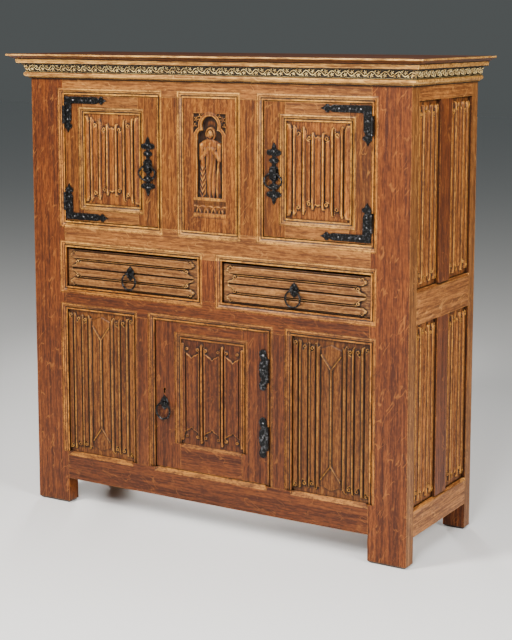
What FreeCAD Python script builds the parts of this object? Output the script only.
import FreeCAD, Part
import math
import os
from FreeCAD import Vector

# A joined oak cupboard with linenfold panels: two upper doors beside a carved
# figure panel, two drawers, and a lower door between two fixed panels.
# Millimetres, +Z up, X = 0 on the centre line, Z = 0 on the floor.
# Pieces are drawn with Y = 0 on the front face of the stiles and Y growing
# towards the back, and are moved to the middle of the whole depth at the end.

# Carcase
BODY_WIDTH = 1318.0
BODY_DEPTH = 450.0
FRONT_STILE_WIDTH = 122.0
FRONT_STILE_DEPTH = 46.0
BACK_STILE_WIDTH = 70.0
BACK_STILE_DEPTH = 40.0
FOOT_HEIGHT = 83.0
FOOT_CHAMFER = 7.0
FRONT_RAIL_THICKNESS = 34.0
SIDE_RAIL_THICKNESS = 30.0
BACK_RAIL_THICKNESS = 26.0

# Heights of the front rails and openings, from the feet up
BOTTOM_RAIL_HEIGHT = 89.0
LOWER_OPENING_HEIGHT = 464.0
DRAWER_RAIL_HEIGHT = 74.0
DRAWER_OPENING_HEIGHT = 125.0
MIDDLE_RAIL_HEIGHT = 83.0
UPPER_OPENING_HEIGHT = 396.0
TOP_RAIL_SHOW = 48.0

# Widths across the front
FIGURE_OPENING_WIDTH = 182.0
UPPER_MUNTIN_WIDTH = 94.0
DRAWER_DIVIDER_WIDTH = 86.0
LOWER_DOOR_OPENING_WIDTH = 404.0
LOWER_MUNTIN_WIDTH = 81.0

# Sides and back
SIDE_TOP_RAIL_SHOW = 40.0
SIDE_MIDDLE_RAIL_HEIGHT = 98.0
SIDE_MIDDLE_RAIL_DROP = 13.0
SIDE_BOTTOM_RAIL_HEIGHT = 82.0
SIDE_MUNTIN_WIDTH = 76.0
SIDE_CHAMFER = 7.0
BACK_TOP_RAIL_SHOW = 32.0
BACK_MUNTIN_WIDTH = 76.0

# Joinery
TENON_LENGTH = 26.0
TENON_THICKNESS = 11.0
TENON_SHOULDER = 9.0
GROOVE_DEPTH = 8.0
PANEL_THICKNESS = 8.0
PANEL_BACKSET = 14.0
SIDE_PANEL_BACKSET = 12.0
PANEL_PLAY = 0.3
HOUSING_DEPTH = 6.0
# Cutters run this far past the faces they cut
PROUD = 1.0

# Moulding worked on the edges round the openings
MOULD_WIDTH = 20.0
MOULD_DEPTH = 7.5
MOULD_BEAD = 6.0
MOULD_QUIRK = 1.8
MOULD_LIP = 4.5
MOULD_FILLET = 2.0
MOULD_SAG = 0.8
SILL_CHAMFER = 12.0

# Cornice, from the bottom up: base and bead, carved frieze, fillet, top board
BASE_HEIGHT = 6.0
BEAD_HEIGHT = 15.0
FRIEZE_HEIGHT = 25.0
FILLET_HEIGHT = 16.0
TOP_THICKNESS = 14.0
BASE_OVERHANG = 6.0
BEAD_OVERHANG = 17.0
FRIEZE_OVERHANG = 23.0
FRIEZE_FOOT = 14.0
FILLET_OVERHANG = 36.0
FILLET_SLOPE = 4.0
TOP_OVERHANG = 57.0
TOP_BEVEL = 19.0
TOP_LIP = 5.0

# Linenfold carving
ROLL_WIDTH = 10.0
RIDGE_WIDTH = 6.0
FOLD_RISE = 7.0
FOLD_EDGE_RISE = 4.2
HOLLOW_RISE = 1.8
FOLD_MARGIN = 9.0
FOLD_WAVE = 6.0
FOLD_FORK = 26.0

# Doors
DOOR_GAP = 2.5
DOOR_THICKNESS = 22.0
DOOR_PANEL_BACKSET = 9.0
UPPER_DOOR_RECESS = 8.0
UPPER_DOOR_STILE = 70.0
UPPER_DOOR_RAIL = 55.0
LOWER_DOOR_RECESS = 10.0
LOWER_DOOR_STILE = 89.0
LOWER_DOOR_TOP_RAIL = 51.0
LOWER_DOOR_BOTTOM_RAIL = 81.0
STOP_WIDTH = 8.0
STOP_CLEARANCE = 0.3
LOWER_STOP_LENGTH = 160.0

# Drawers
DRAWER_GAP = 2.0
DRAWER_RECESS = 6.0
DRAWER_FRONT_HEIGHT = 116.0
DRAWER_FRONT_THICKNESS = 22.0
DRAWER_FRONT_LIFT = 1.5
DRAWER_SIDE_THICKNESS = 14.0
DRAWER_SIDE_DROP = 10.0
DRAWER_LAP = 8.0
DRAWER_BOTTOM_THICKNESS = 8.0
DRAWER_BOTTOM_LIFT = 12.0
DRAWER_GROOVE = 5.0
DRAWER_CLEARANCE = 0.3
RUNNER_THICKNESS = 22.0
RUNNER_LEDGE = 20.0
GUIDE_HEIGHT = 25.0
GUIDE_WIDTH = 24.0

# Floors
FLOOR_THICKNESS = 18.0
FLOOR_DROP = 10.0
FLOOR_BOARDS = 6

# Figure panel
FIGURE_PANEL_FACE = 8.0
NICHE_WIDTH = 88.0
NICHE_DEPTH = 9.0
NICHE_BOTTOM_LIFT = 44.0
NICHE_HEIGHT = 300.0
PLINTH_WIDTH = 114.0
PLINTH_HEIGHT = 58.0
FIGURE_HEIGHT = 204.0
FIGURE_WIDTH = 78.0
FIGURE_RELIEF = 8.5
HEAD_WIDTH = 34.0
PLEAT_DEPTH = 0.16
PLEATS = 8

# Iron hinges
IRON = 2.5
BARREL_RADIUS = 5.0
PIN_RADIUS = 2.4
PIN_CLEARANCE = 0.1
HINGE_CLEARANCE = 0.3
LEAF_THICKNESS = 2.0
LEAF_DEPTH = 24.0
CORNER_BARREL = 56.0
CORNER_ARM = 160.0
CORNER_ARM_WIDTH = 19.0
CORNER_DROP = 110.0
CORNER_DROP_WIDTH = 25.0
CORNER_INSET = 5.0
TIP_LENGTH = 28.0
LEAF_HINGE_HEIGHT = 122.0
LEAF_HINGE_WIDTH = 30.0
LEAF_BARREL = 72.0
LEAF_HINGE_END = 52.0

# Iron handles and lock
PLATE_HEIGHT = 178.0
PLATE_WIDTH = 46.0
PLATE_INSET = 33.5
PLATE_DROP = 12.0
BOSS_WIDTH = 22.0
BOSS_HEIGHT = 28.0
BOSS_DEPTH = 13.0
BOW_WIDTH = 64.0
BOW_DROP = 45.0
WIRE_RADIUS = 2.8
EYE_CLEARANCE = 0.4
RING_RADIUS = 25.5
RING_FLATS = 12
BOW_FLATS = 10
FORGED_FLATS = 8
EYE_THICKNESS = 5.0
EYE_WALL = 3.2
EYE_REACH = 7.5
PULL_LEAF_WIDTH = 30.0
PULL_LEAF_HEIGHT = 46.0
DRAWER_PULL_HEIGHT = 60.0
LOWER_PULL_INSET = 31.0
LOWER_PULL_HEIGHT = 206.0
KEYHOLE_LIFT = 42.0
KEYHOLE_RADIUS = 4.5
KEYHOLE_SLOT = 5.0
KEYHOLE_DROP = 12.0
LOCK_WIDTH = 72.0
LOCK_HEIGHT = 90.0
LOCK_DEPTH = 16.0
LOCK_WALL = 2.5
LOCK_INSET = 12.0
BOLT_HEIGHT = 18.0
BOLT_THICKNESS = 7.0
BOLT_LENGTH = 58.0
BOLT_CLEARANCE = 0.3

# Levels and lines worked out from the sizes above
half = BODY_WIDTH / 2
stile_inner = half - FRONT_STILE_WIDTH
bottom_rail_top = FOOT_HEIGHT + BOTTOM_RAIL_HEIGHT
lower_top = bottom_rail_top + LOWER_OPENING_HEIGHT
drawer_floor = lower_top + DRAWER_RAIL_HEIGHT
drawer_top = drawer_floor + DRAWER_OPENING_HEIGHT
upper_floor = drawer_top + MIDDLE_RAIL_HEIGHT
upper_top = upper_floor + UPPER_OPENING_HEIGHT
cornice_base = upper_top + TOP_RAIL_SHOW
frieze_base = cornice_base + BASE_HEIGHT + BEAD_HEIGHT
fillet_base = frieze_base + FRIEZE_HEIGHT
body_height = fillet_base + FILLET_HEIGHT
figure_edge = FIGURE_OPENING_WIDTH / 2
upper_door_edge = figure_edge + UPPER_MUNTIN_WIDTH
divider_edge = DRAWER_DIVIDER_WIDTH / 2
lower_door_edge = LOWER_DOOR_OPENING_WIDTH / 2
lower_panel_edge = lower_door_edge + LOWER_MUNTIN_WIDTH
back_stile_front = BODY_DEPTH - BACK_STILE_DEPTH
back_stile_inner = half - BACK_STILE_WIDTH
back_rail_front = BODY_DEPTH - BACK_RAIL_THICKNESS
side_inner = half - SIDE_RAIL_THICKNESS
middle_depth = (TOP_OVERHANG - BODY_DEPTH) / 2


def board(x, y, z):
    """Box between pairs of low and high X, Y and Z."""
    corner = Vector(x[0], y[0], z[0])
    return Part.makeBox(x[1] - x[0], y[1] - y[0], z[1] - z[0], corner)


def mirrored(shape):
    """Copy of a right-hand piece for the left-hand side."""
    return shape.mirror(Vector(0, 0, 0), Vector(1, 0, 0))


def path_face(points, place):
    """Face inside a closed path.

    A point is (a, b), reached by a straight line, or (a, b, c, d), reached by an
    arc that passes through (c, d). place turns (a, b) into a Vector.
    """
    edges = []
    last = place(*points[-1][:2])
    for point in points:
        end = place(*point[:2])
        if len(point) == 4:
            edges.append(Part.Arc(last, place(*point[2:]), end).toShape())
        else:
            edges.append(Part.LineSegment(last, end).toShape())
        last = end
    return Part.Face(Part.Wire(edges))


def on_front(a, b):
    return Vector(a, 0, b)


def on_floor(a, b):
    return Vector(a, b, 0)


def on_side(a, b):
    return Vector(0, a, b)


def plate(points, y, thickness):
    """Flat plate drawn on the front, with its back at y."""
    face = path_face(points, on_front)
    face.translate(Vector(0, y, 0))
    return face.extrude(Vector(0, -thickness, 0))


def forged_rod(radius, start, end):
    """Rod hammered to flats between two points, its radius taken to the corners."""
    run = end - start
    first = Vector(0, 0, 1) if run.y else Vector(0, 1, 0)
    second = run.cross(first).normalize()
    corners = []
    for index in range(FORGED_FLATS):
        turn = 2 * math.pi * index / FORGED_FLATS
        corners.append(start + (first * math.cos(turn) + second * math.sin(turn)) * radius)
    return Part.Face(Part.makePolygon(corners + corners[:1])).extrude(run)


def forged_bore(radius, start, end):
    """Hole with flats that a rod of the given radius turns in."""
    return forged_rod(radius / math.cos(math.pi / FORGED_FLATS), start, end)


def skin(sections, closed=False):
    """Flat-sided solid between outlines with the same number of corners."""
    chain = sections + sections[:1] if closed else sections
    faces = []
    for low, high in zip(chain, chain[1:]):
        for index in range(len(low)):
            side = [low[index - 1], low[index], high[index], high[index - 1], low[index - 1]]
            faces.append(Part.Face(Part.makePolygon(side)))
    if not closed:
        for end in (sections[0], sections[-1]):
            faces.append(Part.Face(Part.makePolygon(end + end[:1])))
    solid = Part.Solid(Part.Shell(faces))
    if solid.Volume < 0:
        solid.reverse()
    return solid


def tenoned_rail(reach, y, z, run="x"):
    """Rail with a tenon at each end. reach is its low and high end along run."""
    middle = (y[0] + y[1]) / 2
    tongue = (middle - TENON_THICKNESS / 2, middle + TENON_THICKNESS / 2)
    ends = (reach[0] - TENON_LENGTH, reach[1] + TENON_LENGTH)
    height = (z[0] + TENON_SHOULDER, z[1] - TENON_SHOULDER)
    if run == "x":
        shape = board(reach, y, z).fuse(board(ends, tongue, height))
    elif run == "y":
        shape = board(y, reach, z).fuse(board(tongue, ends, height))
    else:
        shape = board(z, y, reach).fuse(board(height, tongue, ends))
    return shape.removeSplitter()


def stile(x, y):
    """Corner post with its foot chamfered all round."""
    post = board(x, y, (0, body_height))
    foot = [edge for edge in post.Edges if edge.BoundBox.ZMax < FOOT_CHAMFER]
    return post.makeChamfer(FOOT_CHAMFER, foot)


def mould_section(place):
    """Section of the waste that leaves a bead, a hollow and a lip on an edge.

    place takes the distance from the opening's edge and the depth below the face.
    """
    bead_out = MOULD_WIDTH - MOULD_QUIRK / 2
    bead_in = bead_out - MOULD_BEAD
    bead_top = MOULD_QUIRK - MOULD_BEAD / 6
    hollow_top = MOULD_QUIRK + MOULD_FILLET / 2
    hollow = ((bead_in + MOULD_LIP - MOULD_SAG) / 2, (hollow_top + MOULD_DEPTH) / 2 + MOULD_SAG)
    points = [
        (0, -PROUD),
        (MOULD_WIDTH, -PROUD),
        (MOULD_WIDTH, 0),
        (bead_out, MOULD_QUIRK),
        ((bead_out + bead_in) / 2, bead_top),
        (bead_in, MOULD_QUIRK),
        (bead_in, hollow_top),
        (MOULD_LIP, MOULD_DEPTH) + hollow,
        (MOULD_LIP, MOULD_DEPTH - MOULD_FILLET),
        (0, MOULD_DEPTH - MOULD_FILLET),
    ]
    return path_face(points, place)


def mitre_block(points, y):
    """Prism over an outline on the front, deep enough to cut a moulding to length."""
    return plate(points, y + MOULD_DEPTH + PROUD, MOULD_DEPTH + 3 * PROUD)


def moulding_waste(x, z, face, sides="tblr"):
    """Waste round an opening, mitred at its corners, one solid for each side."""
    m = MOULD_WIDTH
    wide = (x[0] - m, x[1] + m)
    tall = (z[0] - m if "b" in sides else z[0], z[1] + m)
    run_x = Vector(wide[1] - wide[0], 0, 0)
    run_z = Vector(0, 0, tall[1] - tall[0])
    waste = []
    if "t" in sides:
        section = mould_section(lambda u, w: Vector(wide[0], face + w, z[1] + u))
        outline = [(x[0], z[1]), (x[1], z[1]), (wide[1], tall[1]), (wide[0], tall[1])]
        waste.append(section.extrude(run_x).common(mitre_block(outline, face)))
    if "b" in sides:
        section = mould_section(lambda u, w: Vector(wide[0], face + w, z[0] - u))
        outline = [(x[0], z[0]), (x[1], z[0]), (wide[1], tall[0]), (wide[0], tall[0])]
        waste.append(section.extrude(run_x).common(mitre_block(outline, face)))
    for edge, outer, way in ((x[0], wide[0], -1), (x[1], wide[1], 1)):
        section = mould_section(lambda u, w: Vector(edge + way * u, face + w, tall[0]))
        outline = [(edge, z[0]), (edge, z[1]), (outer, tall[1]), (outer, tall[0])]
        waste.append(section.extrude(run_z).common(mitre_block(outline, face)))
    return waste


def sill_waste(x, top, face, size):
    """Stopped chamfer along the upper front edge of a rail, with sloping ends."""
    corner = [(face - PROUD, top + PROUD), (face + size, top + PROUD), (face + size, top)]
    corner += [(face, top - size), (face - PROUD, top - size)]
    prism = path_face(corner, on_side).extrude(Vector(x[1] - x[0], 0, 0))
    prism.translate(Vector(x[0], 0, 0))
    ends = [(x[0], face - PROUD), (x[1], face - PROUD), (x[1], face)]
    ends += [(x[1] - size, face + size), (x[0] + size, face + size), (x[0], face)]
    stops = path_face(ends, on_floor).extrude(Vector(0, 0, size + 2 * PROUD))
    stops.translate(Vector(0, 0, top - size))
    return prism.common(stops)


def fold_items(pattern, width):
    """Folds across a panel: r a roll, t a thin ridge, h a hollow sharing the rest."""
    fixed = {"r": ROLL_WIDTH, "t": RIDGE_WIDTH}
    taken = sum(fixed.get(kind, 0) for kind in pattern)
    hollow = (width - taken) / pattern.count("h")
    items = []
    left = -width / 2
    for kind in pattern:
        right = left + fixed.get(kind, hollow)
        items.append((kind, left, right))
        left = right
    return items


def fold_section(items):
    """Section across the folds, standing on the panel's ground."""
    points = [(items[0][1], -PROUD)]
    for kind, left, right in items:
        points.append((left, FOLD_EDGE_RISE))
        if kind == "h":
            points.append(((left + right) / 2, HOLLOW_RISE))
        else:
            bevel = (right - left) / 4
            points.append((left + bevel, FOLD_RISE))
            points.append((right - bevel, FOLD_RISE))
    points.append((items[-1][2], FOLD_EDGE_RISE))
    points.append((items[-1][2], -PROUD))
    return path_face(points, lambda u, w: Vector(u, -w, 0))


def fold_end(items, reach, fork):
    """Wavy end of the folded cloth, from left to right, at a height of reach."""
    base = reach - FOLD_WAVE
    points = [(items[0][1], base)]
    for index, (kind, left, right) in enumerate(items):
        middle = (left + right) / 2
        near = [items[i][0] for i in (index - 1, index + 1) if 0 <= i < len(items)]
        if fork and kind == "t":
            points.append((right, base - fork))
        elif fork and kind == "h" and "t" in near:
            points.append((right, base - fork if items[index + 1][0] == "t" else base))
        elif kind == "h":
            points.append((middle, base - FOLD_WAVE))
            points.append((right, base))
        else:
            points.append((middle, base + FOLD_WAVE))
            points.append((right, base))
    return points


def linenfold(pattern, width, length, fork=0.0):
    """Folded cloth standing forward of Y = 0, centred on X = 0 and Z = 0."""
    items = fold_items(pattern, width)
    prism = fold_section(items).extrude(Vector(0, 0, length))
    prism.translate(Vector(0, 0, -length / 2))
    outline = []
    for way in (1, -1):
        for point in fold_end(items, length / 2, fork):
            outline.append(tuple(way * value for value in point))
    return prism.common(plate(outline, 2 * PROUD, FOLD_RISE + 4 * PROUD))


def linen_panel(pattern, x, z, backset, fork=0.0):
    """Panel facing the front, tongued into grooves round an opening."""
    reach = GROOVE_DEPTH - PANEL_PLAY
    depth = (backset, backset + PANEL_THICKNESS)
    slab = board((x[0] - reach, x[1] + reach), depth, (z[0] - reach, z[1] + reach))
    size = (x[1] - x[0] - 2 * FOLD_MARGIN, z[1] - z[0] - 2 * FOLD_MARGIN)
    folds = linenfold(pattern, size[0], size[1], fork)
    folds.translate(Vector((x[0] + x[1]) / 2, backset, (z[0] + z[1]) / 2))
    return slab.fuse(folds)


def groove(x, z, backset):
    """Groove that takes a panel round an opening."""
    depth = (backset, backset + PANEL_THICKNESS)
    wide = (x[0] - GROOVE_DEPTH, x[1] + GROOVE_DEPTH)
    return board(wide, depth, (z[0] - GROOVE_DEPTH, z[1] + GROOVE_DEPTH))


def trimmed(piece, cutters):
    """Piece with the cutters that reach it taken away."""
    near = [cutter for cutter in cutters if piece.BoundBox.intersect(cutter.BoundBox)]
    return piece.cut(near).removeSplitter() if near else piece


# Front openings
right_door_x = (upper_door_edge, stile_inner)
left_door_x = (-stile_inner, -upper_door_edge)
figure_x = (-figure_edge, figure_edge)
upper_z = (upper_floor, upper_top)
right_drawer_x = (divider_edge, stile_inner)
left_drawer_x = (-stile_inner, -divider_edge)
drawer_z = (drawer_floor, drawer_top)
lower_door_x = (-lower_door_edge, lower_door_edge)
right_panel_x = (lower_panel_edge, stile_inner)
left_panel_x = (-stile_inner, -lower_panel_edge)
lower_z = (bottom_rail_top, lower_top)


def hinge(edge, face, middle, length):
    """Iron hinge on the right-hand edge of a door.

    edge is the frame's edge, face the door's face, middle the height of the
    barrel's middle. The pintle is let into the frame: a leaf, the lower knuckle
    and a pin forged in one. The door's knuckle turns on the pin.
    """
    axis = Vector(edge - DOOR_GAP / 2, face - BARREL_RADIUS - HINGE_CLEARANCE, middle)
    reach = Vector(0, 0, length / 2)
    gap = Vector(0, 0, HINGE_CLEARANCE / 2)
    low, high = axis - reach, axis + reach
    room = BARREL_RADIUS + HINGE_CLEARANCE
    leaf = board((edge, edge + LEAF_THICKNESS), (axis.y, face + LEAF_DEPTH), (low.z, middle - gap.z))
    stem = [forged_rod(BARREL_RADIUS, low, axis - gap), forged_rod(PIN_RADIUS, low, high)]
    return {
        "middle": middle,
        "pintle": leaf.fuse(stem).removeSplitter(),
        "knuckle": forged_rod(BARREL_RADIUS, axis + gap, high),
        "bore": forged_bore(PIN_RADIUS + PIN_CLEARANCE, low, high + gap),
        "door_notch": board(
            (axis.x - room, edge), (axis.y, face + PROUD), (low.z - gap.z, middle + gap.z)
        ),
        "frame_notch": board(
            (edge - PROUD, axis.x + room), (axis.y - room, axis.y + room), (low.z - gap.z, high.z + gap.z)
        ),
    }


def walked_back(path, flip):
    """Steps of a path in reverse, flipped, from its end to its start."""
    steps = []
    for point, before in zip(path[:0:-1], path[-2::-1]):
        via = flip(*point[2:]) if len(point) == 4 else ()
        steps.append(flip(*before[:2]) + via)
    return steps


def symmetric(path, flip):
    """Closed outline of a path that starts and ends on its line of symmetry."""
    return path[1:] + walked_back(path, flip)


def flip_across(a, b):
    return (-a, b)


def flip_down(a, b):
    return (a, -b)


def strap(reach, width):
    """Closed outline of a strap from a = 0 to a spear tip at a = reach."""
    neck = width * 0.28
    start = reach - TIP_LENGTH
    path = [
        (0, 0),
        (0, width / 2),
        (start - width / 2, width / 2),
        (start, neck),
        (start + TIP_LENGTH * 0.3, width / 2),
        (reach, 0),
    ]
    return symmetric(path, flip_down)


def turned(points, place):
    """Outline moved point by point, arcs included."""
    moved = []
    for point in points:
        values = place(*point[:2])
        if len(point) == 4:
            values = values + place(*point[2:])
        moved.append(values)
    return moved


def corner_strap(edge, corner, way, face):
    """L-shaped strap on a door's corner. way is -1 at the top corner, 1 below."""
    across = strap(CORNER_ARM, CORNER_ARM_WIDTH)
    down = strap(CORNER_DROP, CORNER_DROP_WIDTH)
    across_z = corner + way * CORNER_ARM_WIDTH / 2
    down_x = edge - CORNER_DROP_WIDTH / 2
    arms = [
        plate(turned(across, lambda a, b: (edge - a, across_z + b)), face, IRON),
        plate(turned(down, lambda a, b: (down_x + b, corner + way * a)), face, IRON),
    ]
    return arms[0].fuse(arms[1]).removeSplitter()


def scroll_leaf(edge, middle, face):
    """Upright leaf with a waist and two pointed ends, on a door's edge."""
    w = LEAF_HINGE_WIDTH
    h = LEAF_HINGE_HEIGHT / 2
    b = LEAF_HINGE_END / 2
    path = [
        (-w, 0),
        (-w * 0.6, b * 0.8),
        (-w * 0.9, h * 0.68),
        (-w * 0.5, h),
        (-w * 0.15, h * 0.68),
        (0, b),
    ]
    outline = path + [(0, -b)] + walked_back(path, flip_down)[1:-1]
    points = turned(outline, lambda a, c: (edge + a, middle + c))
    return plate(points, face, IRON)


def lock_plate(middle_x, middle_z, face):
    """Tall plate with a fleur-de-lys at each end and a boss that holds the handle."""
    w = PLATE_WIDTH / 2
    shoulder = BOSS_WIDTH / 2 + IRON
    body = BOSS_HEIGHT / 2 + IRON
    end = PLATE_HEIGHT / 2 - body
    neck = 0.22 * w
    quarter = [
        (shoulder, 0),
        (shoulder, body),
        (neck, body + 0.08 * end),
        (neck, body + 0.2 * end),
        (0.62 * w, body + 0.3 * end),
        (neck, body + 0.4 * end),
        (neck, body + 0.5 * end),
        (w, body + 0.56 * end),
        (0.85 * w, body + 0.68 * end),
        (neck, body + 0.72 * end),
        (0, body + end),
    ]
    path = [(0, -body - end)] + walked_back(quarter, flip_down) + quarter[1:]
    outline = turned(symmetric(path, flip_across), lambda a, b: (middle_x + a, middle_z + b))
    iron = plate(outline, face, IRON)
    boss = board(
        (middle_x - BOSS_WIDTH / 2, middle_x + BOSS_WIDTH / 2),
        (face - BOSS_DEPTH, face - IRON / 2),
        (middle_z - BOSS_HEIGHT / 2, middle_z + BOSS_HEIGHT / 2),
    )
    front = [edge for edge in boss.Edges if edge.BoundBox.YMax < face - BOSS_DEPTH + PROUD]
    boss = boss.makeChamfer(BOSS_DEPTH / 5, front)
    pivot = handle_pivot(middle_x, middle_z, face)
    reach = Vector(BOSS_WIDTH, 0, 0)
    hole = forged_bore(WIRE_RADIUS + EYE_CLEARANCE, pivot - reach, pivot + reach)
    return iron.fuse(boss).cut(hole)


def handle_pivot(x, z, face):
    """Middle of the axis that a bow handle swings on."""
    return Vector(x, face - BOSS_DEPTH / 2 - IRON / 2, z)


def forged_wire(path, closed=False):
    """Six-sided wire along a path in an upright plane, mitred where it bends."""
    sections = []
    for index, centre in enumerate(path):
        last = path[index - 1] if closed or index > 0 else centre * 2 - path[1]
        after = path[(index + 1) % len(path)] if closed or index < len(path) - 1 else centre * 2 - last
        out = (after - centre).normalize()
        along = (out + (centre - last).normalize()).normalize()
        side = Vector(-along.z, 0, along.x) * (WIRE_RADIUS / along.dot(out))
        front = Vector(0, WIRE_RADIUS, 0)
        turns = [math.radians(60 * corner) for corner in range(6)]
        sections.append([centre + side * math.cos(turn) + front * math.sin(turn) for turn in turns])
    return skin(sections, closed)


def bow_handle(pivot):
    """Wide bow of forged wire whose two ends turn in the boss."""
    wide = BOW_WIDTH / 2 - WIRE_RADIUS
    drop = (BOW_DROP - WIRE_RADIUS) / 2
    ends = (BOSS_WIDTH / 4, BOSS_WIDTH / 2 + WIRE_RADIUS)
    path = [pivot + Vector(a, 0, 0) for a in ends]
    for index in range(BOW_FLATS + 1):
        turn = math.radians(50 - 280 * index / BOW_FLATS)
        path.append(pivot + Vector(wide * math.cos(turn), 0, drop * (math.sin(turn) - 1)))
    path += [pivot - Vector(a, 0, 0) for a in reversed(ends)]
    return forged_wire(path)


def pull_pivot(x, z, face):
    """Middle of the eye that a ring hangs in."""
    return Vector(x, face - IRON - EYE_REACH, z)


def ring_pull(x, z, face):
    """Leaf-shaped plate and eye, and the ring that hangs in the eye."""
    pivot = pull_pivot(x, z, face)
    w, h = PULL_LEAF_WIDTH / 2, PULL_LEAF_HEIGHT / 2
    path = [(0, -h), (0.7 * w, -0.5 * h), (w, 0), (0.7 * w, 0.5 * h), (0, h)]
    outline = turned(symmetric(path, flip_across), lambda a, b: (x + a, z + b))
    iron = plate(outline, face, IRON)
    outer = WIRE_RADIUS + EYE_CLEARANCE + EYE_WALL
    across = Vector(EYE_THICKNESS / 2, 0, 0)
    eye = forged_rod(outer, pivot - across, pivot + across)
    shank = board((x - across.x, x + across.x), (pivot.y, face - IRON / 2), (z - EYE_WALL, z + EYE_WALL))
    hole = forged_bore(WIRE_RADIUS + EYE_CLEARANCE, pivot - 2 * across, pivot + 2 * across)
    step = math.pi / RING_FLATS
    centre = pivot - Vector(0, 0, RING_RADIUS * math.cos(step))
    path = []
    for index in range(RING_FLATS):
        turn = math.pi / 2 + step * (2 * index + 1)
        path.append(centre + Vector(math.cos(turn), 0, math.sin(turn)) * RING_RADIUS)
    return iron.fuse([eye, shank]).cut(hole), forged_wire(path, True)


def door(x, z, face, stile_width, top_rail, bottom_rail, pattern, sill):
    """Framed door: stiles, rails with tenons, and a linenfold panel in a groove."""
    depth = (face, face + DOOR_THICKNESS)
    inner_x = (x[0] + stile_width, x[1] - stile_width)
    inner_z = (z[0] + bottom_rail, z[1] - top_rail)
    rails = [
        tenoned_rail(inner_x, depth, (inner_z[1], z[1])),
        tenoned_rail(inner_x, depth, (z[0], inner_z[0])),
    ]
    stiles = [board((x[0], inner_x[0]), depth, z), board((inner_x[1], x[1]), depth, z)]
    stiles = [trimmed(piece, rails) for piece in stiles]
    backset = face + DOOR_PANEL_BACKSET
    waste = [groove(inner_x, inner_z, backset)]
    if sill:
        waste += moulding_waste(inner_x, inner_z, face, "tlr")
        waste.append(sill_waste(inner_x, inner_z[0], face, DOOR_PANEL_BACKSET))
    else:
        waste += moulding_waste(inner_x, inner_z, face)
    panel = linen_panel(pattern, inner_x, inner_z, backset)
    return [trimmed(p, waste) for p in stiles], [trimmed(p, waste) for p in rails], panel


def drawer(x):
    """Drawer in the right-hand opening: front, sides and back, and bottom."""
    wide = (x[0] + DRAWER_GAP, x[1] - DRAWER_GAP)
    low = drawer_floor + DRAWER_CLEARANCE
    front_low = drawer_floor + DRAWER_FRONT_LIFT
    front_z = (front_low, front_low + DRAWER_FRONT_HEIGHT)
    ground = DRAWER_RECESS + FOLD_RISE
    front_back = DRAWER_RECESS + DRAWER_FRONT_THICKNESS
    back_end = back_rail_front - PROUD
    side_z = (low, front_z[1] - DRAWER_SIDE_DROP)
    side_y = (front_back - DRAWER_LAP, back_end)
    t = DRAWER_SIDE_THICKNESS
    sides = [board((wide[0], wide[0] + t), side_y, side_z), board((wide[1] - t, wide[1]), side_y, side_z)]
    bottom_z = (front_low + DRAWER_BOTTOM_LIFT, front_low + DRAWER_BOTTOM_LIFT + DRAWER_BOTTOM_THICKNESS)
    back_y = (back_end - t - DRAWER_GROOVE, back_end - DRAWER_GROOVE)
    back = board((wide[0] + t, wide[1] - t), back_y, (bottom_z[0], side_z[1]))
    reach = DRAWER_GROOVE - PANEL_PLAY
    inner = (wide[0] + t, wide[1] - t)
    bottom_x = (inner[0] - reach, inner[1] + reach)
    bottom = board(bottom_x, (front_back - reach, back_y[1]), bottom_z)
    slot = board(
        (inner[0] - DRAWER_GROOVE, inner[1] + DRAWER_GROOVE),
        (front_back - DRAWER_GROOVE, back_end + PROUD),
        bottom_z,
    )
    front = board(wide, (ground, front_back), front_z)
    size = (front_z[1] - front_z[0] - FOLD_MARGIN, wide[1] - wide[0] - 2 * FOLD_MARGIN)
    folds = linenfold("rhrhrhrhr", size[0], size[1])
    folds.rotate(Vector(0, 0, 0), Vector(0, 1, 0), 90)
    folds.translate(Vector((wide[0] + wide[1]) / 2, ground, (front_z[0] + front_z[1]) / 2))
    front = front.fuse(folds).cut(sides + [slot])
    box = [piece.cut(slot) for piece in sides] + [back.cut(bottom)]
    return front, box, bottom


def lower_lock(x, z, face):
    """Iron lock case on the back of the lower door, and its sliding bolt."""
    back = face + DOOR_THICKNESS
    case_x = (x - LOCK_WIDTH / 2 + LOCK_INSET, x + LOCK_WIDTH / 2 + LOCK_INSET)
    case_z = (z - LOCK_HEIGHT / 2, z + LOCK_HEIGHT / 2)
    case = board(case_x, (back, back + LOCK_DEPTH), case_z)
    hollow = board(
        (case_x[0] + LOCK_WALL, case_x[1] - LOCK_WALL),
        (back + LOCK_WALL, back + LOCK_DEPTH - LOCK_WALL),
        (case_z[0] + LOCK_WALL, case_z[1] - LOCK_WALL),
    )
    bolt_y = back + LOCK_DEPTH / 2
    bolt_z = case_z[1] - LOCK_WALL - BOLT_HEIGHT
    half_bolt = BOLT_THICKNESS / 2
    bolt_x = (case_x[0], case_x[0] + BOLT_LENGTH)
    bolt = board(bolt_x, (bolt_y - half_bolt, bolt_y + half_bolt), (bolt_z, bolt_z + BOLT_HEIGHT))
    room = half_bolt + BOLT_CLEARANCE
    mouth = board(
        (case_x[0] - PROUD, case_x[0] + 2 * LOCK_WALL),
        (bolt_y - room, bolt_y + room),
        (bolt_z - BOLT_CLEARANCE, bolt_z + BOLT_HEIGHT + BOLT_CLEARANCE),
    )
    guide = board(
        (case_x[0] + LOCK_WALL, case_x[1] - LOCK_WALL),
        (back + LOCK_WALL, back + LOCK_DEPTH - LOCK_WALL),
        (bolt_z - BOLT_CLEARANCE - LOCK_WALL, bolt_z - BOLT_CLEARANCE),
    )
    return case.cut([hollow, mouth]).fuse(guide), bolt


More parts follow.
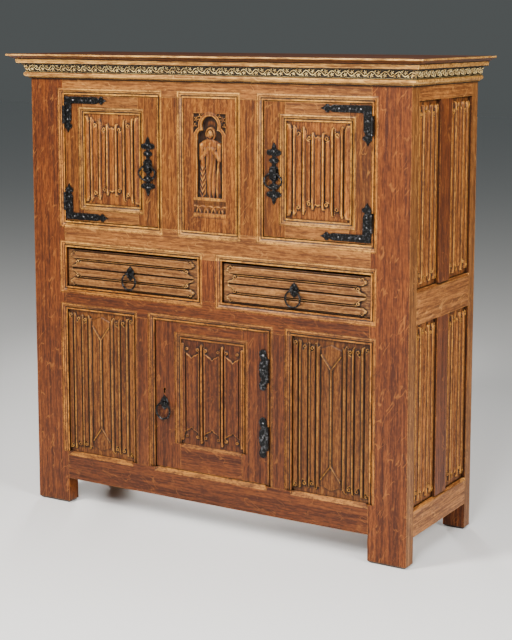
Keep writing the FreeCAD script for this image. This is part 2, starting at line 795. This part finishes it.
def keyhole(x, z, face):
    """Keyhole through the door: an eye with a slot below it."""
    run = Vector(0, DOOR_THICKNESS + 3 * LOCK_WALL, 0)
    start = Vector(x, face - PROUD, z)
    slot = board(
        (x - KEYHOLE_SLOT / 2, x + KEYHOLE_SLOT / 2),
        (start.y, start.y + run.y),
        (z - KEYHOLE_DROP, z),
    )
    return forged_rod(KEYHOLE_RADIUS, start, start + run).fuse(slot)


def figure_panel():
    """Panel with a trefoil-headed niche, a moulded plinth and a robed figure."""
    reach = GROOVE_DEPTH - PANEL_PLAY
    z = upper_z
    depth = (PANEL_BACKSET, PANEL_BACKSET + PANEL_THICKNESS)
    slab = board(
        (figure_x[0] - reach, figure_x[1] + reach), depth, (z[0] - reach, z[1] + reach)
    )
    face = board(figure_x, (FIGURE_PANEL_FACE, PANEL_BACKSET + PROUD), z)
    n = NICHE_WIDTH / 2
    p = PLINTH_WIDTH / 2
    base = z[0] + NICHE_BOTTOM_LIFT
    feet = base + PLINTH_HEIGHT
    top = base + NICHE_HEIGHT
    lobe = n * 0.6
    niche = [
        (-p, feet),
        (-p, base),
        (p, base),
        (p, feet),
        (n, feet),
        (n, top - 1.5 * n),
        (lobe, top - 0.85 * n, n * 0.86, top - 0.95 * n),
        (-lobe, top - 0.85 * n, 0, top),
        (-n, top - 1.5 * n, -n * 0.86, top - 0.95 * n),
        (-n, feet),
    ]
    ground = FIGURE_PANEL_FACE + NICHE_DEPTH
    recess = plate(niche, ground, NICHE_DEPTH + PROUD)
    reveal = FIGURE_PANEL_FACE
    step = PLINTH_HEIGHT / 4
    plinth_points = [
        (ground + PROUD, base),
        (reveal, base),
        (reveal, base + step),
        (reveal + NICHE_DEPTH * 0.45, base + 1.6 * step, reveal + NICHE_DEPTH * 0.2, base + 1.45 * step),
        (reveal + NICHE_DEPTH * 0.45, base + 2.9 * step),
        (reveal, base + 3.4 * step, reveal + NICHE_DEPTH * 0.3, base + 3.3 * step),
        (reveal, feet),
        (ground + PROUD, feet),
    ]
    plinth = path_face(plinth_points, on_side).extrude(Vector(PLINTH_WIDTH, 0, 0))
    plinth.translate(Vector(-p, 0, 0))
    body = robed_figure(feet, ground)
    return slab.fuse(face).cut(recess).fuse([plinth] + body)


def half_round(width, relief, height, ground, pleat):
    """Corners of a section that stands out of the niche, with every other one set back."""
    corners = [Vector(width / 2, ground + PROUD, height)]
    for index in range(PLEATS + 1):
        turn = math.pi * index / PLEATS
        out = relief * math.sin(turn) * (1 if index % 2 else 1 - pleat)
        corners.append(Vector(math.cos(turn) * width / 2, ground - out, height))
    corners.append(Vector(-width / 2, ground + PROUD, height))
    return corners


def robed_figure(feet, ground):
    """Pleated robe and head of a standing figure, half round against the niche."""
    robe = ((0.0, 1.0), (0.3, 0.82), (0.6, 0.92), (0.74, 1.0), (0.82, 0.72), (0.88, 0.3))
    head = ((0.86, 0.5), (0.9, 0.9), (0.94, 1.0), (0.98, 0.75), (1.0, 0.4))
    pieces = []
    for stations, width, pleat in ((robe, FIGURE_WIDTH, PLEAT_DEPTH), (head, HEAD_WIDTH, 0)):
        sections = []
        for height, share in stations:
            level = feet + height * FIGURE_HEIGHT
            sections.append(half_round(share * width, share * FIGURE_RELIEF, level, ground, pleat))
        pieces.append(skin(sections))
    return pieces


def cornice_strip(points):
    """Front and two side lengths of one cornice moulding, mitred at the corners."""
    o = TOP_OVERHANG
    front = path_face(points, lambda a, b: Vector(-half - o, -a, b)).extrude(Vector(BODY_WIDTH + 2 * o, 0, 0))
    side = path_face(points, lambda a, b: Vector(half + a, -o, b)).extrude(Vector(0, BODY_DEPTH + o, 0))
    front_plan = [(-half, 0), (half, 0), (half + o, -o), (-half - o, -o)]
    side_plan = [(half, 0), (half, BODY_DEPTH), (half + o, BODY_DEPTH), (half + o, -o)]
    up = Vector(0, 0, body_height)
    front = front.common(path_face(front_plan, on_floor).extrude(up))
    side = side.common(path_face(side_plan, on_floor).extrude(up))
    return [front, side, mirrored(side)]


def top_board():
    """Top with a bevelled edge on the front and both ends."""
    o, b = TOP_OVERHANG, TOP_BEVEL
    z = (body_height, body_height + TOP_THICKNESS - TOP_LIP, body_height + TOP_THICKNESS)
    ends = [
        (-half - o + b, z[0]), (half + o - b, z[0]), (half + o, z[1]),
        (half + o, z[2]), (-half - o, z[2]), (-half - o, z[1]),
    ]
    front = [(-o + b, z[0]), (BODY_DEPTH, z[0]), (BODY_DEPTH, z[2]), (-o, z[2]), (-o, z[1])]
    across = path_face(ends, lambda a, c: Vector(a, -o, c)).extrude(Vector(0, BODY_DEPTH + o, 0))
    along = path_face(front, on_side).extrude(Vector(BODY_WIDTH + 2 * o, 0, 0))
    along.translate(Vector(-half - o, 0, 0))
    return across.common(along)


def floor_boards(top, cutters):
    """Boards that run from the front rail to the back rail, side by side."""
    y = (FRONT_RAIL_THICKNESS - HOUSING_DEPTH, back_rail_front + HOUSING_DEPTH)
    z = (top - FLOOR_THICKNESS, top)
    width = 2 * side_inner / FLOOR_BOARDS
    boards = []
    for index in range(FLOOR_BOARDS):
        left = -side_inner + index * width
        boards.append(trimmed(board((left, left + width), y, z), cutters))
    return boards


nodes = {}

# Front frame: rails, muntins and divider with their tenons
front_y = (0, FRONT_RAIL_THICKNESS)
frame_x = (-stile_inner, stile_inner)
top_rail = tenoned_rail(frame_x, front_y, (upper_top, body_height))
middle_rail = tenoned_rail(frame_x, front_y, (drawer_top, upper_floor))
drawer_rail = tenoned_rail(frame_x, front_y, (lower_top, drawer_floor))
bottom_rail = tenoned_rail(frame_x, front_y, (FOOT_HEIGHT, bottom_rail_top))
upper_muntin = tenoned_rail(upper_z, front_y, (figure_edge, upper_door_edge), "z")
drawer_divider = tenoned_rail(drawer_z, front_y, (-divider_edge, divider_edge), "z")
lower_muntin = tenoned_rail(lower_z, front_y, (lower_door_edge, lower_panel_edge), "z")
front_posts = [upper_muntin, mirrored(upper_muntin), drawer_divider, lower_muntin, mirrored(lower_muntin)]
front_rails = [top_rail, middle_rail, drawer_rail, bottom_rail]

# Waste taken from the front frame: mouldings, sills and panel grooves
front_waste = []
for x, z in (
    (left_door_x, upper_z), (figure_x, upper_z), (right_door_x, upper_z),
    (left_drawer_x, drawer_z), (right_drawer_x, drawer_z),
):
    front_waste += moulding_waste(x, z, 0)
for x in (left_panel_x, lower_door_x, right_panel_x):
    front_waste += moulding_waste(x, lower_z, 0, "tlr")
    front_waste.append(sill_waste(x, bottom_rail_top, 0, SILL_CHAMFER))
for x, z in ((figure_x, upper_z), (left_panel_x, lower_z), (right_panel_x, lower_z)):
    front_waste.append(groove(x, z, PANEL_BACKSET))

# Hinges
upper_door_x = (upper_door_edge + DOOR_GAP, stile_inner - DOOR_GAP)
upper_door_z = (upper_floor + DOOR_GAP, upper_top - DOOR_GAP)
corner_inset = CORNER_INSET + CORNER_DROP / 2
upper_hinges = [
    hinge(stile_inner, UPPER_DOOR_RECESS, upper_door_z[1] - corner_inset, CORNER_BARREL),
    hinge(stile_inner, UPPER_DOOR_RECESS, upper_door_z[0] + corner_inset, CORNER_BARREL),
]
lower_door_span = (-lower_door_edge + DOOR_GAP, lower_door_edge - DOOR_GAP)
lower_door_z = (bottom_rail_top + DOOR_GAP, lower_top - DOOR_GAP)
leaf_inset = [rail + LEAF_HINGE_HEIGHT / 2 for rail in (LOWER_DOOR_TOP_RAIL, LOWER_DOOR_BOTTOM_RAIL)]
lower_hinges = [
    hinge(lower_door_edge, LOWER_DOOR_RECESS, middle, LEAF_BARREL)
    for middle in (lower_door_z[1] - leaf_inset[0], lower_door_z[0] + leaf_inset[1])
]
hinge_waste = []
for item in upper_hinges:
    hinge_waste += [item["pintle"], item["frame_notch"]]
    hinge_waste += [mirrored(item["pintle"]), mirrored(item["frame_notch"])]
for item in lower_hinges:
    hinge_waste += [item["pintle"], item["frame_notch"]]
front_waste += hinge_waste

# Side frames
side_y = (FRONT_STILE_DEPTH, back_stile_front)
side_x = (side_inner, half)
side_middle = (FRONT_STILE_DEPTH + back_stile_front) / 2
side_levels = [
    (cornice_base - SIDE_TOP_RAIL_SHOW, body_height),
    (drawer_floor - SIDE_MIDDLE_RAIL_DROP, drawer_floor - SIDE_MIDDLE_RAIL_DROP + SIDE_MIDDLE_RAIL_HEIGHT),
    (FOOT_HEIGHT, FOOT_HEIGHT + SIDE_BOTTOM_RAIL_HEIGHT),
]
side_rails = [tenoned_rail(side_y, side_x, z, "y") for z in side_levels]
side_muntins = []
side_panels = []
side_waste = []
for upper, lower in ((side_levels[0], side_levels[1]), (side_levels[1], side_levels[2])):
    z = (lower[1], upper[0])
    muntin_y = (side_middle - SIDE_MUNTIN_WIDTH / 2, side_middle + SIDE_MUNTIN_WIDTH / 2)
    muntin = tenoned_rail(z, (-side_x[1], -side_x[0]), muntin_y, "z")
    muntin.rotate(Vector(0, 0, 0), Vector(0, 0, 1), 90)
    side_muntins.append(muntin)
    for span in ((side_y[0], muntin_y[0]), (muntin_y[1], side_y[1])):
        panel = linen_panel("rhrhrhr", span, z, SIDE_PANEL_BACKSET - half)
        panel.rotate(Vector(0, 0, 0), Vector(0, 0, 1), 90)
        side_panels.append(panel)
        slot = groove(span, z, SIDE_PANEL_BACKSET - half)
        slot.rotate(Vector(0, 0, 0), Vector(0, 0, 1), 90)
        side_waste.append(slot)
    chamfer = sill_waste(side_y, z[0], -half, SIDE_CHAMFER)
    chamfer.rotate(Vector(0, 0, 0), Vector(0, 0, 1), 90)
    side_waste.append(chamfer)
right_frame = [trimmed(piece, side_waste) for piece in side_rails + side_muntins]
right_frame = [trimmed(piece, side_muntins) for piece in right_frame[:3]] + right_frame[3:]

# Back frame
back_x = (-back_stile_inner, back_stile_inner)
back_y = (back_rail_front, BODY_DEPTH)
back_levels = [
    (cornice_base - BACK_TOP_RAIL_SHOW, body_height),
    (lower_top, upper_floor),
    (FOOT_HEIGHT, bottom_rail_top),
]
back_blanks = [tenoned_rail(back_x, back_y, z) for z in back_levels]
back_muntins = []
back_panels = []
back_waste = []
bay = (2 * back_stile_inner - 2 * BACK_MUNTIN_WIDTH) / 3
back_backset = back_rail_front + (BACK_RAIL_THICKNESS - PANEL_THICKNESS) / 2
for upper, lower in ((back_levels[0], back_levels[1]), (back_levels[1], back_levels[2])):
    z = (lower[1], upper[0])
    for way in (-1, 1):
        muntin_x = sorted((way * bay / 2, way * (bay / 2 + BACK_MUNTIN_WIDTH)))
        back_muntins.append(tenoned_rail(z, back_y, tuple(muntin_x), "z"))
    for column in (-1, 0, 1):
        left = column * (bay + BACK_MUNTIN_WIDTH) - bay / 2
        reach = GROOVE_DEPTH - PANEL_PLAY
        panel_y = (back_backset, back_backset + PANEL_THICKNESS)
        panel_z = (z[0] - reach, z[1] + reach)
        back_panels.append(board((left - reach, left + bay + reach), panel_y, panel_z))
        back_waste.append(groove((left, left + bay), z, back_backset))
back_rails = [trimmed(piece, back_muntins + back_waste) for piece in back_blanks]
back_muntins = [trimmed(piece, back_waste) for piece in back_muntins]

# Stiles, with the mortises and grooves of the rails and panels they hold
right_front_stile = stile((stile_inner, half), (0, FRONT_STILE_DEPTH))
right_front_stile = trimmed(right_front_stile, front_rails + side_rails + front_waste + side_waste)
right_back_stile = stile((back_stile_inner, half), (back_stile_front, BODY_DEPTH))
right_back_stile = trimmed(right_back_stile, back_blanks + side_rails + back_waste + side_waste)
stiles = [
    right_front_stile, mirrored(right_front_stile), right_back_stile, mirrored(right_back_stile)
]

# Floors and drawer runners, housed in the front and back rails
lower_boards = floor_boards(bottom_rail_top - FLOOR_DROP, stiles)
upper_boards = floor_boards(upper_floor - FLOOR_DROP, stiles)
runner_y = (FRONT_RAIL_THICKNESS - HOUSING_DEPTH, back_rail_front + HOUSING_DEPTH)
runner_z = (drawer_floor - RUNNER_THICKNESS, drawer_floor, drawer_floor + GUIDE_HEIGHT)
drawer_outer = stile_inner - DRAWER_GAP
guide_in = drawer_outer + DRAWER_CLEARANCE + DRAWER_GAP
outer_runner = [
    (drawer_outer - RUNNER_LEDGE, runner_z[0]),
    (guide_in + GUIDE_WIDTH, runner_z[0]),
    (guide_in + GUIDE_WIDTH, runner_z[2]),
    (guide_in, runner_z[2]),
    (guide_in, runner_z[1]),
    (drawer_outer - RUNNER_LEDGE, runner_z[1]),
]
centre_guide = divider_edge - DRAWER_CLEARANCE
centre_ledge = divider_edge + DRAWER_GAP + RUNNER_LEDGE
centre_runner = [
    (-centre_ledge, runner_z[0]),
    (centre_ledge, runner_z[0]),
    (centre_ledge, runner_z[1]),
    (centre_guide, runner_z[1]),
    (centre_guide, runner_z[2]),
    (-centre_guide, runner_z[2]),
    (-centre_guide, runner_z[1]),
    (-centre_ledge, runner_z[1]),
]
runner_run = runner_y[1] - runner_y[0]
right_runner = trimmed(plate(outer_runner, runner_y[1], runner_run), stiles)
middle_runner = plate(centre_runner, runner_y[1], runner_run).cut(drawer_divider)
runners = [right_runner, mirrored(right_runner), middle_runner]

# Front rails and posts, finished
housed = lower_boards + upper_boards + runners
rail_waste = front_posts + front_waste + housed
front_rails = [trimmed(piece, rail_waste) for piece in front_rails]
front_posts = [trimmed(piece, front_waste) for piece in front_posts]
back_rails = [trimmed(piece, housed) for piece in back_rails]

nodes["front_stile_right"] = [stiles[0]]
nodes["front_stile_left"] = [stiles[1]]
nodes["back_stile_right"] = [stiles[2]]
nodes["back_stile_left"] = [stiles[3]]
nodes["front_top_rail"] = [front_rails[0]]
nodes["front_middle_rail"] = [front_rails[1]]
nodes["front_drawer_rail"] = [front_rails[2]]
nodes["front_bottom_rail"] = [front_rails[3]]
nodes["upper_muntins"] = front_posts[0:2]
nodes["drawer_divider"] = [front_posts[2]]
nodes["lower_muntins"] = front_posts[3:5]
nodes["side_frame_right"] = right_frame
nodes["side_frame_left"] = [mirrored(piece) for piece in right_frame]
nodes["side_panels_right"] = side_panels
nodes["side_panels_left"] = [mirrored(piece) for piece in side_panels]
nodes["back_frame"] = back_rails + back_muntins
nodes["back_panels"] = back_panels
nodes["lower_floor_boards"] = lower_boards
nodes["upper_floor_boards"] = upper_boards
nodes["drawer_runners"] = runners

# Fixed panels in the front
right_lower_panel = linen_panel("rhrhthrhr", right_panel_x, lower_z, PANEL_BACKSET, FOLD_FORK)
nodes["lower_panel_right"] = [right_lower_panel]
nodes["lower_panel_left"] = [mirrored(right_lower_panel)]
nodes["figure_panel"] = [figure_panel()]

# Cornice
bead_foot = BEAD_OVERHANG - 0.45 * BEAD_HEIGHT
base_bead = [
    (0, cornice_base),
    (BASE_OVERHANG, cornice_base),
    (BASE_OVERHANG, cornice_base + BASE_HEIGHT),
    (bead_foot, cornice_base + BASE_HEIGHT),
    (bead_foot, frieze_base, BEAD_OVERHANG, cornice_base + BASE_HEIGHT + BEAD_HEIGHT / 2),
    (0, frieze_base),
]
frieze = [
    (0, frieze_base),
    (FRIEZE_FOOT, frieze_base),
    (FRIEZE_OVERHANG, fillet_base, FRIEZE_FOOT, frieze_base + FRIEZE_HEIGHT * 0.65),
    (0, fillet_base),
]
fillet = [
    (0, fillet_base),
    (FILLET_OVERHANG - FILLET_SLOPE, fillet_base),
    (FILLET_OVERHANG, body_height),
    (0, body_height),
]
nodes["cornice_base_bead"] = cornice_strip(base_bead)
nodes["cornice_frieze"] = cornice_strip(frieze)
nodes["cornice_fillet"] = cornice_strip(fillet)
nodes["top_board"] = [top_board()]

# Hinge pieces on the carcase
pintles = [item["pintle"] for item in upper_hinges + lower_hinges]
nodes["hinge_pintles"] = pintles + [mirrored(piece) for piece in pintles[:2]]

# Door stops on the muntins, behind the closing edges
upper_stop = board(
    (upper_door_edge, upper_door_edge + STOP_WIDTH),
    (UPPER_DOOR_RECESS + DOOR_THICKNESS + STOP_CLEARANCE, FRONT_RAIL_THICKNESS + STOP_WIDTH),
    (upper_floor + STOP_WIDTH, upper_top - STOP_WIDTH),
)
lower_stop = board(
    (-lower_door_edge, -lower_door_edge + STOP_WIDTH),
    (LOWER_DOOR_RECESS + DOOR_THICKNESS + STOP_CLEARANCE, FRONT_RAIL_THICKNESS + STOP_WIDTH),
    (bottom_rail_top, bottom_rail_top + LOWER_STOP_LENGTH),
)
nodes["door_stops"] = [upper_stop, mirrored(upper_stop), lower_stop]

# Upper doors, drawn on the right and mirrored
face = UPPER_DOOR_RECESS
parts = door(
    upper_door_x, upper_door_z, face, UPPER_DOOR_STILE, UPPER_DOOR_RAIL, UPPER_DOOR_RAIL,
    "rhrhrhrhrhrhr", False,
)
straps = []
for item, corner, way in (
    (upper_hinges[0], upper_door_z[1] - CORNER_INSET, -1),
    (upper_hinges[1], upper_door_z[0] + CORNER_INSET, 1),
):
    strap_iron = corner_strap(upper_door_x[1], corner, way, face)
    straps.append(strap_iron.cut(item["door_notch"]).fuse(item["knuckle"]).cut(item["bore"]))
handle_x = upper_door_x[0] + PLATE_INSET
handle_z = (upper_floor + upper_top) / 2 - PLATE_DROP
door_pieces = {
    "stiles": parts[0],
    "rails": parts[1],
    "panel": [parts[2]],
    "corner_straps": straps,
    "lock_plate": [lock_plate(handle_x, handle_z, face)],
    "bow_handle": [bow_handle(handle_pivot(handle_x, handle_z, face))],
}
for name, pieces in door_pieces.items():
    nodes["upper_right_" + name] = pieces
    nodes["upper_left_" + name] = [mirrored(piece) for piece in pieces]

# Lower door
face = LOWER_DOOR_RECESS
parts = door(
    lower_door_span, lower_door_z, face, LOWER_DOOR_STILE, LOWER_DOOR_TOP_RAIL, LOWER_DOOR_BOTTOM_RAIL,
    "hrhrh", True,
)
leaves = []
for item in lower_hinges:
    leaf_iron = scroll_leaf(lower_door_span[1], item["middle"], face)
    leaves.append(leaf_iron.cut(item["door_notch"]).fuse(item["knuckle"]).cut(item["bore"]))
pull_x = lower_door_span[0] + LOWER_PULL_INSET
pull_z = bottom_rail_top + LOWER_PULL_HEIGHT
key_z = pull_z + KEYHOLE_LIFT
hole = keyhole(pull_x, key_z, face)
pull, ring = ring_pull(pull_x, pull_z, face)
case, bolt = lower_lock(pull_x, key_z, face)
nodes["lower_door_stiles"] = [trimmed(piece, [hole]) for piece in parts[0]]
nodes["lower_door_rails"] = parts[1]
nodes["lower_door_panel"] = [parts[2]]
nodes["lower_door_hinge_leaves"] = leaves
nodes["lower_door_pull_plate"] = [pull]
nodes["lower_door_ring"] = [ring]
nodes["lower_door_lock_case"] = [case.cut(hole)]
nodes["lower_door_bolt"] = [bolt]

# Drawers, drawn on the right and mirrored
front, box, bottom = drawer(right_drawer_x)
pull, ring = ring_pull(
    (right_drawer_x[0] + right_drawer_x[1]) / 2, drawer_floor + DRAWER_PULL_HEIGHT, DRAWER_RECESS
)
drawer_pieces = {
    "drawer_front": [front],
    "drawer_box": box,
    "drawer_bottom": [bottom],
    "drawer_pull_plate": [pull],
    "drawer_ring": [ring],
}
for name, pieces in drawer_pieces.items():
    nodes["right_" + name] = pieces
    nodes["left_" + name] = [mirrored(piece) for piece in pieces]

os.makedirs("parts", exist_ok=True)
for name, pieces in nodes.items():
    solids = [solid for piece in pieces for solid in piece.Solids]
    shape = Part.makeCompound(solids) if len(solids) > 1 else solids[0]
    shape.translate(Vector(0, middle_depth, 0))
    shape.exportStep("parts/" + name + ".step")
